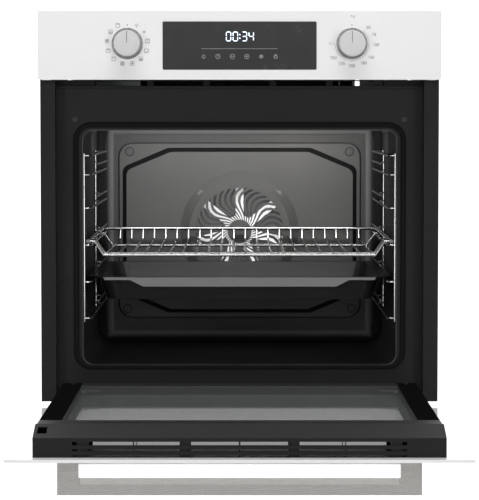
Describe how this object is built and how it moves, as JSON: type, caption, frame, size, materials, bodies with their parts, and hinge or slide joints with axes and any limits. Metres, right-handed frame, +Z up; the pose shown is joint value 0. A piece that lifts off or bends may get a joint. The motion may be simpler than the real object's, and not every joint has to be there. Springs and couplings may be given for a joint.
{
  "type": "wall oven",
  "caption": "Built-in electric wall oven with a drop-down glass door, steel bar handle, white glass control panel, wire shelf, baking tray and fan-heated cavity.",
  "frame": {"origin": "middle of the carcass underside on the plane where the front flange meets the cabinet", "axes": "+X to the right seen from the front, +Y from the front to the back, +Z up; the door is drawn open"},
  "size_m": [0.594, 1.033, 0.6349],
  "materials": {
    "galvanised": "zinc-coated sheet steel, dull, faint spangle",
    "black_enamel": "glossy black vitreous enamel",
    "cavity_enamel": "glossy dark blue-grey vitreous enamel with fine speckle",
    "cover_enamel": "satin grey vitreous enamel with fine speckle",
    "dark_screws": "blackened steel screw",
    "mineral_wool": "matted mineral wool",
    "seal_rubber": "black woven glass-fibre and silicone seal",
    "element_steel": "heat-tinted stainless tube",
    "screw_steel": "stainless screw",
    "fan_steel": "bright aluminised sheet",
    "motor_iron": "laminated motor iron and dark plastic",
    "lamp_white": "white ceramic and clear quartz",
    "lamp_glass": "clear moulded borosilicate glass",
    "tan_plastic": "heat-resistant moulded resin",
    "black_plastic": "black moulded plastic",
    "chrome_wire": "bright chrome-plated wire",
    "tray_enamel": "glossy black vitreous enamel",
    "white_glass": "white back-printed glass",
    "display_glass": "dark tinted glass",
    "board_green": "green circuit board",
    "bezel_steel": "polished trim ring",
    "knob_silver": "satin silver lacquer",
    "switch_body": "ivory moulded plastic",
    "hinge_steel": "plain rolled steel",
    "spring_steel": "oiled spring steel",
    "door_glass": "tinted clear float glass",
    "handle_steel": "brushed stainless steel"
  },
  "bodies": {
    "carcass": {"base_pan": "galvanised", "side_panel_left": "galvanised", "side_panel_right": "galvanised", "rear_panel": "galvanised", "rear_fan_housing": "galvanised", "top_cover": "galvanised", "duct_plate": "galvanised", "front_frame": "black_enamel", "frame_screws": "dark_screws", "cavity_muffle": "cavity_enamel", "cavity_rear": "cavity_enamel", "insulation": "mineral_wool", "door_gasket": "seal_rubber", "grill_element": "element_steel", "bottom_element": "element_steel", "ring_element": "element_steel", "fan_cover": "cover_enamel", "fan_cover_screws": "dark_screws", "convection_motor": "motor_iron", "lamp_housing": "galvanised", "lamp_bulb": "lamp_white", "lamp_lens": "lamp_glass", "oven_probe": "screw_steel", "safety_cutout": "tan_plastic", "terminal_box": "black_plastic", "blower_housing": "galvanised", "blower_motor": "motor_iron", "rack_left": "chrome_wire", "rack_right": "chrome_wire", "panel_fascia": "white_glass", "panel_bracket": "galvanised", "display_window": "display_glass", "display_board": "board_green", "knob_bezels": "bezel_steel", "mode_switch": "switch_body", "thermostat": "switch_body", "hinge_receivers": "hinge_steel", "hinge_arms": "hinge_steel"},
    "door": {"door_outer_glass": "white_glass", "door_top_profile": "black_enamel", "door_side_profiles": "black_enamel", "door_bottom_profile": "black_enamel", "door_middle_glass": "door_glass", "door_inner_glass": "door_glass", "handle_bar": "handle_steel", "handle_posts": "handle_steel", "hinge_channels": "hinge_steel", "hinge_pins": "hinge_steel", "hinge_springs": "spring_steel"},
    "link_left": {"hinge_link_left": "hinge_steel"},
    "link_right": {"hinge_link_right": "hinge_steel"},
    "shelf": {"wire_shelf": "chrome_wire"},
    "tray": {"baking_tray": "tray_enamel"},
    "fan": {"convection_fan": "fan_steel", "convection_fan_nut": "screw_steel"},
    "blower": {"blower_rotor": "black_plastic"},
    "mode_shaft": {"mode_spindle": "screw_steel"},
    "mode_cap": {"mode_knob": "knob_silver"},
    "heat_shaft": {"thermostat_spindle": "screw_steel"},
    "heat_cap": {"thermostat_knob": "knob_silver"}
  },
  "joints": [
    {"name": "door_hinge", "type": "hinge", "parent": "carcass", "child": "door", "pos_m": [0, -0.013, 0], "axis": [1, 0, 0], "range_deg": [-90, 0]},
    {"name": "link_left_slide", "type": "slide", "parent": "door", "child": "link_left", "axis": [0, 1, 0], "range_m": [-0.015, 0]},
    {"name": "link_right_slide", "type": "slide", "parent": "door", "child": "link_right", "axis": [0, 1, 0], "range_m": [-0.015, 0]},
    {"name": "mode_turn", "type": "hinge", "parent": "carcass", "child": "mode_shaft", "pos_m": [-0.165, -0.02, 0.532], "axis": [0, 1, 0], "continuous": true},
    {"name": "mode_push", "type": "slide", "parent": "mode_shaft", "child": "mode_cap", "axis": [0, 1, 0], "range_m": [0, 0.012]},
    {"name": "thermostat_turn", "type": "hinge", "parent": "carcass", "child": "heat_shaft", "pos_m": [0.165, -0.02, 0.532], "axis": [0, 1, 0], "range_deg": [0, 270]},
    {"name": "thermostat_push", "type": "slide", "parent": "heat_shaft", "child": "heat_cap", "axis": [0, 1, 0], "range_m": [0, 0.012]},
    {"name": "shelf_slide", "type": "slide", "parent": "carcass", "child": "shelf", "axis": [0, -1, 0], "range_m": [0, 0.36]},
    {"name": "tray_slide", "type": "slide", "parent": "carcass", "child": "tray", "axis": [0, -1, 0], "range_m": [0, 0.36]},
    {"name": "fan_spin", "type": "hinge", "parent": "carcass", "child": "fan", "pos_m": [0, 0.435, 0.23], "axis": [0, 1, 0], "continuous": true},
    {"name": "blower_spin", "type": "hinge", "parent": "carcass", "child": "blower", "pos_m": [0, 0.125, 0.5], "axis": [1, 0, 0], "continuous": true}
  ],
  "couplings": [
    {"joint": "link_left_slide", "follows": "door_hinge", "m_per_rad": 0.009549},
    {"joint": "link_right_slide", "follows": "door_hinge", "m_per_rad": 0.009549}
  ]
}
